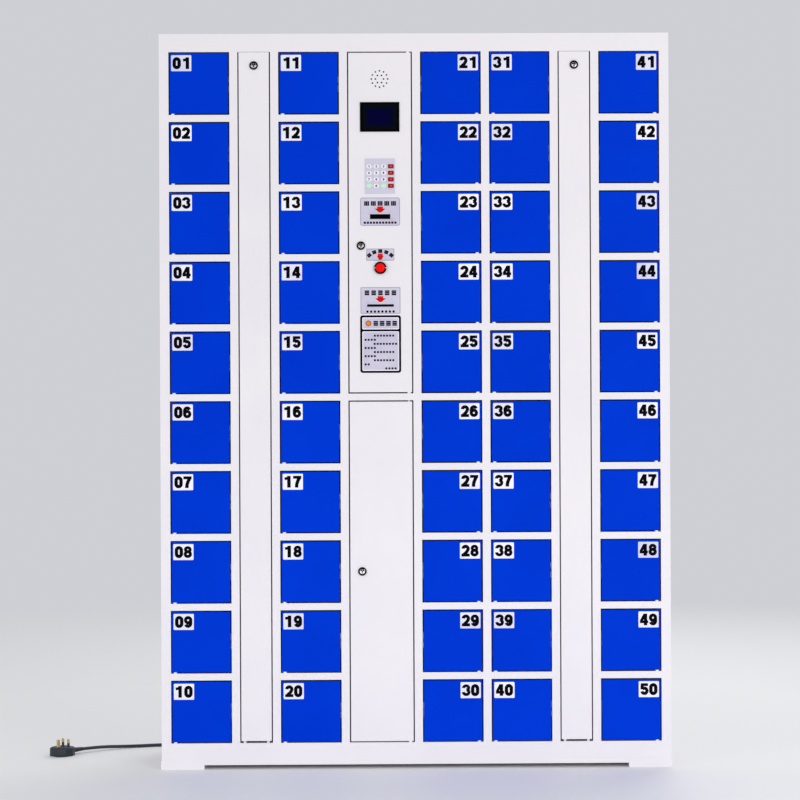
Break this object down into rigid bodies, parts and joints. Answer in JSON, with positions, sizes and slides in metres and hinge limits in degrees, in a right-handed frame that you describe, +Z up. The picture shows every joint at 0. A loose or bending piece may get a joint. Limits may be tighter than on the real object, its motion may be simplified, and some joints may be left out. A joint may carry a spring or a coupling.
{
  "type": "electronic cell phone locker",
  "caption": "Free-standing sheet-steel phone locker: columns of small hinged doors beside a control column, with narrow service covers, two feet and a mains lead.",
  "frame": {"origin": "on the floor under the middle of the body", "axes": "+Z up, the doors face -Y, +X to the right of someone facing the doors"},
  "size_m": [1.496, 0.4138, 1.73],
  "materials": {
    "white_paint": "fine satin powder coat",
    "blue_paint": "smooth satin powder coat",
    "zinc_steel": "bright zinc plated",
    "black_plastic": "fine matt",
    "red_plastic": "gloss",
    "cord_sheath": "matt extruded sheath",
    "plug_plastic": "satin moulded"
  },
  "bodies": {
    "cabinet": {"cabinet_carcass": "white_paint", "inner_fittings": "zinc_steel", "power_cord": "cord_sheath", "power_plug": "plug_plastic"},
    "door_01": {"door_01": "blue_paint"},
    "door_02": {"door_02": "blue_paint"},
    "door_03": {"door_03": "blue_paint"},
    "door_04": {"door_04": "blue_paint"},
    "door_05": {"door_05": "blue_paint"},
    "door_06": {"door_06": "blue_paint"},
    "door_07": {"door_07": "blue_paint"},
    "door_08": {"door_08": "blue_paint"},
    "door_09": {"door_09": "blue_paint"},
    "door_10": {"door_10": "blue_paint"},
    "door_11": {"door_11": "blue_paint"},
    "door_12": {"door_12": "blue_paint"},
    "door_13": {"door_13": "blue_paint"},
    "door_14": {"door_14": "blue_paint"},
    "door_15": {"door_15": "blue_paint"},
    "door_16": {"door_16": "blue_paint"},
    "door_17": {"door_17": "blue_paint"},
    "door_18": {"door_18": "blue_paint"},
    "door_19": {"door_19": "blue_paint"},
    "door_20": {"door_20": "blue_paint"},
    "door_21": {"door_21": "blue_paint"},
    "door_22": {"door_22": "blue_paint"},
    "door_23": {"door_23": "blue_paint"},
    "door_24": {"door_24": "blue_paint"},
    "door_25": {"door_25": "blue_paint"},
    "door_26": {"door_26": "blue_paint"},
    "door_27": {"door_27": "blue_paint"},
    "door_28": {"door_28": "blue_paint"},
    "door_29": {"door_29": "blue_paint"},
    "door_30": {"door_30": "blue_paint"},
    "door_31": {"door_31": "blue_paint"},
    "door_32": {"door_32": "blue_paint"},
    "door_33": {"door_33": "blue_paint"},
    "door_34": {"door_34": "blue_paint"},
    "door_35": {"door_35": "blue_paint"},
    "door_36": {"door_36": "blue_paint"},
    "door_37": {"door_37": "blue_paint"},
    "door_38": {"door_38": "blue_paint"},
    "door_39": {"door_39": "blue_paint"},
    "door_40": {"door_40": "blue_paint"},
    "door_41": {"door_41": "blue_paint"},
    "door_42": {"door_42": "blue_paint"},
    "door_43": {"door_43": "blue_paint"},
    "door_44": {"door_44": "blue_paint"},
    "door_45": {"door_45": "blue_paint"},
    "door_46": {"door_46": "blue_paint"},
    "door_47": {"door_47": "blue_paint"},
    "door_48": {"door_48": "blue_paint"},
    "door_49": {"door_49": "blue_paint"},
    "door_50": {"door_50": "blue_paint"},
    "control_door": {"control_door": "white_paint", "panel_modules": "black_plastic"},
    "push_button": {"push_button": "red_plastic"},
    "lower_door": {"lower_door": "white_paint"},
    "service_cover_left": {"service_cover_left": "white_paint"},
    "service_cover_right": {"service_cover_right": "white_paint"}
  },
  "joints": [
    {"name": "door_01_hinge", "type": "hinge", "parent": "cabinet", "child": "door_01", "pos_m": [-0.5675, -0.1455, 1.6135], "axis": [0, 0, -1], "range_deg": [0, 95]},
    {"name": "door_02_hinge", "type": "hinge", "parent": "cabinet", "child": "door_02", "pos_m": [-0.5675, -0.1455, 1.44925], "axis": [0, 0, -1], "range_deg": [0, 95]},
    {"name": "door_03_hinge", "type": "hinge", "parent": "cabinet", "child": "door_03", "pos_m": [-0.5675, -0.1455, 1.285], "axis": [0, 0, -1], "range_deg": [0, 95]},
    {"name": "door_04_hinge", "type": "hinge", "parent": "cabinet", "child": "door_04", "pos_m": [-0.5675, -0.1455, 1.12075], "axis": [0, 0, -1], "range_deg": [0, 95]},
    {"name": "door_05_hinge", "type": "hinge", "parent": "cabinet", "child": "door_05", "pos_m": [-0.5675, -0.1455, 0.9565], "axis": [0, 0, -1], "range_deg": [0, 95]},
    {"name": "door_06_hinge", "type": "hinge", "parent": "cabinet", "child": "door_06", "pos_m": [-0.5675, -0.1455, 0.79225], "axis": [0, 0, -1], "range_deg": [0, 95]},
    {"name": "door_07_hinge", "type": "hinge", "parent": "cabinet", "child": "door_07", "pos_m": [-0.5675, -0.1455, 0.628], "axis": [0, 0, -1], "range_deg": [0, 95]},
    {"name": "door_08_hinge", "type": "hinge", "parent": "cabinet", "child": "door_08", "pos_m": [-0.5675, -0.1455, 0.46375], "axis": [0, 0, -1], "range_deg": [0, 95]},
    {"name": "door_09_hinge", "type": "hinge", "parent": "cabinet", "child": "door_09", "pos_m": [-0.5675, -0.1455, 0.2995], "axis": [0, 0, -1], "range_deg": [0, 95]},
    {"name": "door_10_hinge", "type": "hinge", "parent": "cabinet", "child": "door_10", "pos_m": [-0.5675, -0.1455, 0.13525], "axis": [0, 0, -1], "range_deg": [0, 95]},
    {"name": "door_11_hinge", "type": "hinge", "parent": "cabinet", "child": "door_11", "pos_m": [-0.3095, -0.1455, 1.6135], "axis": [0, 0, -1], "range_deg": [0, 95]},
    {"name": "door_12_hinge", "type": "hinge", "parent": "cabinet", "child": "door_12", "pos_m": [-0.3095, -0.1455, 1.44925], "axis": [0, 0, -1], "range_deg": [0, 95]},
    {"name": "door_13_hinge", "type": "hinge", "parent": "cabinet", "child": "door_13", "pos_m": [-0.3095, -0.1455, 1.285], "axis": [0, 0, -1], "range_deg": [0, 95]},
    {"name": "door_14_hinge", "type": "hinge", "parent": "cabinet", "child": "door_14", "pos_m": [-0.3095, -0.1455, 1.12075], "axis": [0, 0, -1], "range_deg": [0, 95]},
    {"name": "door_15_hinge", "type": "hinge", "parent": "cabinet", "child": "door_15", "pos_m": [-0.3095, -0.1455, 0.9565], "axis": [0, 0, -1], "range_deg": [0, 95]},
    {"name": "door_16_hinge", "type": "hinge", "parent": "cabinet", "child": "door_16", "pos_m": [-0.3095, -0.1455, 0.79225], "axis": [0, 0, -1], "range_deg": [0, 95]},
    {"name": "door_17_hinge", "type": "hinge", "parent": "cabinet", "child": "door_17", "pos_m": [-0.3095, -0.1455, 0.628], "axis": [0, 0, -1], "range_deg": [0, 95]},
    {"name": "door_18_hinge", "type": "hinge", "parent": "cabinet", "child": "door_18", "pos_m": [-0.3095, -0.1455, 0.46375], "axis": [0, 0, -1], "range_deg": [0, 95]},
    {"name": "door_19_hinge", "type": "hinge", "parent": "cabinet", "child": "door_19", "pos_m": [-0.3095, -0.1455, 0.2995], "axis": [0, 0, -1], "range_deg": [0, 95]},
    {"name": "door_20_hinge", "type": "hinge", "parent": "cabinet", "child": "door_20", "pos_m": [-0.3095, -0.1455, 0.13525], "axis": [0, 0, -1], "range_deg": [0, 95]},
    {"name": "door_21_hinge", "type": "hinge", "parent": "cabinet", "child": "door_21", "pos_m": [0.1475, -0.1455, 1.6135], "axis": [0, 0, 1], "range_deg": [0, 95]},
    {"name": "door_22_hinge", "type": "hinge", "parent": "cabinet", "child": "door_22", "pos_m": [0.1475, -0.1455, 1.44925], "axis": [0, 0, 1], "range_deg": [0, 95]},
    {"name": "door_23_hinge", "type": "hinge", "parent": "cabinet", "child": "door_23", "pos_m": [0.1475, -0.1455, 1.285], "axis": [0, 0, 1], "range_deg": [0, 95]},
    {"name": "door_24_hinge", "type": "hinge", "parent": "cabinet", "child": "door_24", "pos_m": [0.1475, -0.1455, 1.12075], "axis": [0, 0, 1], "range_deg": [0, 95]},
    {"name": "door_25_hinge", "type": "hinge", "parent": "cabinet", "child": "door_25", "pos_m": [0.1475, -0.1455, 0.9565], "axis": [0, 0, 1], "range_deg": [0, 95]},
    {"name": "door_26_hinge", "type": "hinge", "parent": "cabinet", "child": "door_26", "pos_m": [0.1475, -0.1455, 0.79225], "axis": [0, 0, 1], "range_deg": [0, 95]},
    {"name": "door_27_hinge", "type": "hinge", "parent": "cabinet", "child": "door_27", "pos_m": [0.1475, -0.1455, 0.628], "axis": [0, 0, 1], "range_deg": [0, 95]},
    {"name": "door_28_hinge", "type": "hinge", "parent": "cabinet", "child": "door_28", "pos_m": [0.1475, -0.1455, 0.46375], "axis": [0, 0, 1], "range_deg": [0, 95]},
    {"name": "door_29_hinge", "type": "hinge", "parent": "cabinet", "child": "door_29", "pos_m": [0.1475, -0.1455, 0.2995], "axis": [0, 0, 1], "range_deg": [0, 95]},
    {"name": "door_30_hinge", "type": "hinge", "parent": "cabinet", "child": "door_30", "pos_m": [0.1475, -0.1455, 0.13525], "axis": [0, 0, 1], "range_deg": [0, 95]},
    {"name": "door_31_hinge", "type": "hinge", "parent": "cabinet", "child": "door_31", "pos_m": [0.1865, -0.1455, 1.6135], "axis": [0, 0, -1], "range_deg": [0, 95]},
    {"name": "door_32_hinge", "type": "hinge", "parent": "cabinet", "child": "door_32", "pos_m": [0.1865, -0.1455, 1.44925], "axis": [0, 0, -1], "range_deg": [0, 95]},
    {"name": "door_33_hinge", "type": "hinge", "parent": "cabinet", "child": "door_33", "pos_m": [0.1865, -0.1455, 1.285], "axis": [0, 0, -1], "range_deg": [0, 95]},
    {"name": "door_34_hinge", "type": "hinge", "parent": "cabinet", "child": "door_34", "pos_m": [0.1865, -0.1455, 1.12075], "axis": [0, 0, -1], "range_deg": [0, 95]},
    {"name": "door_35_hinge", "type": "hinge", "parent": "cabinet", "child": "door_35", "pos_m": [0.1865, -0.1455, 0.9565], "axis": [0, 0, -1], "range_deg": [0, 95]},
    {"name": "door_36_hinge", "type": "hinge", "parent": "cabinet", "child": "door_36", "pos_m": [0.1865, -0.1455, 0.79225], "axis": [0, 0, -1], "range_deg": [0, 95]},
    {"name": "door_37_hinge", "type": "hinge", "parent": "cabinet", "child": "door_37", "pos_m": [0.1865, -0.1455, 0.628], "axis": [0, 0, -1], "range_deg": [0, 95]},
    {"name": "door_38_hinge", "type": "hinge", "parent": "cabinet", "child": "door_38", "pos_m": [0.1865, -0.1455, 0.46375], "axis": [0, 0, -1], "range_deg": [0, 95]},
    {"name": "door_39_hinge", "type": "hinge", "parent": "cabinet", "child": "door_39", "pos_m": [0.1865, -0.1455, 0.2995], "axis": [0, 0, -1], "range_deg": [0, 95]},
    {"name": "door_40_hinge", "type": "hinge", "parent": "cabinet", "child": "door_40", "pos_m": [0.1865, -0.1455, 0.13525], "axis": [0, 0, -1], "range_deg": [0, 95]},
    {"name": "door_41_hinge", "type": "hinge", "parent": "cabinet", "child": "door_41", "pos_m": [0.5675, -0.1455, 1.6135], "axis": [0, 0, 1], "range_deg": [0, 95]},
    {"name": "door_42_hinge", "type": "hinge", "parent": "cabinet", "child": "door_42", "pos_m": [0.5675, -0.1455, 1.44925], "axis": [0, 0, 1], "range_deg": [0, 95]},
    {"name": "door_43_hinge", "type": "hinge", "parent": "cabinet", "child": "door_43", "pos_m": [0.5675, -0.1455, 1.285], "axis": [0, 0, 1], "range_deg": [0, 95]},
    {"name": "door_44_hinge", "type": "hinge", "parent": "cabinet", "child": "door_44", "pos_m": [0.5675, -0.1455, 1.12075], "axis": [0, 0, 1], "range_deg": [0, 95]},
    {"name": "door_45_hinge", "type": "hinge", "parent": "cabinet", "child": "door_45", "pos_m": [0.5675, -0.1455, 0.9565], "axis": [0, 0, 1], "range_deg": [0, 95]},
    {"name": "door_46_hinge", "type": "hinge", "parent": "cabinet", "child": "door_46", "pos_m": [0.5675, -0.1455, 0.79225], "axis": [0, 0, 1], "range_deg": [0, 95]},
    {"name": "door_47_hinge", "type": "hinge", "parent": "cabinet", "child": "door_47", "pos_m": [0.5675, -0.1455, 0.628], "axis": [0, 0, 1], "range_deg": [0, 95]},
    {"name": "door_48_hinge", "type": "hinge", "parent": "cabinet", "child": "door_48", "pos_m": [0.5675, -0.1455, 0.46375], "axis": [0, 0, 1], "range_deg": [0, 95]},
    {"name": "door_49_hinge", "type": "hinge", "parent": "cabinet", "child": "door_49", "pos_m": [0.5675, -0.1455, 0.2995], "axis": [0, 0, 1], "range_deg": [0, 95]},
    {"name": "door_50_hinge", "type": "hinge", "parent": "cabinet", "child": "door_50", "pos_m": [0.5675, -0.1455, 0.13525], "axis": [0, 0, 1], "range_deg": [0, 95]},
    {"name": "control_door_hinge", "type": "hinge", "parent": "cabinet", "child": "control_door", "pos_m": [-0.0145, -0.1455, 1.285], "axis": [0, 0, 1], "range_deg": [0, 95]},
    {"name": "push_button_press", "type": "slide", "parent": "control_door", "child": "push_button", "axis": [0, 1, 0], "range_m": [0, 0.003], "stiffness_N_per_m": 300},
    {"name": "lower_door_hinge", "type": "hinge", "parent": "cabinet", "child": "lower_door", "pos_m": [-0.0145, -0.1455, 0.46375], "axis": [0, 0, 1], "range_deg": [0, 95]},
    {"name": "service_cover_left_tilt", "type": "hinge", "parent": "cabinet", "child": "service_cover_left", "pos_m": [-0.377, -0.1495, 0.06125], "axis": [1, 0, 0], "range_deg": [0, 12]},
    {"name": "service_cover_right_tilt", "type": "hinge", "parent": "cabinet", "child": "service_cover_right", "pos_m": [0.377, -0.1495, 0.06125], "axis": [1, 0, 0], "range_deg": [0, 12]}
  ]
}
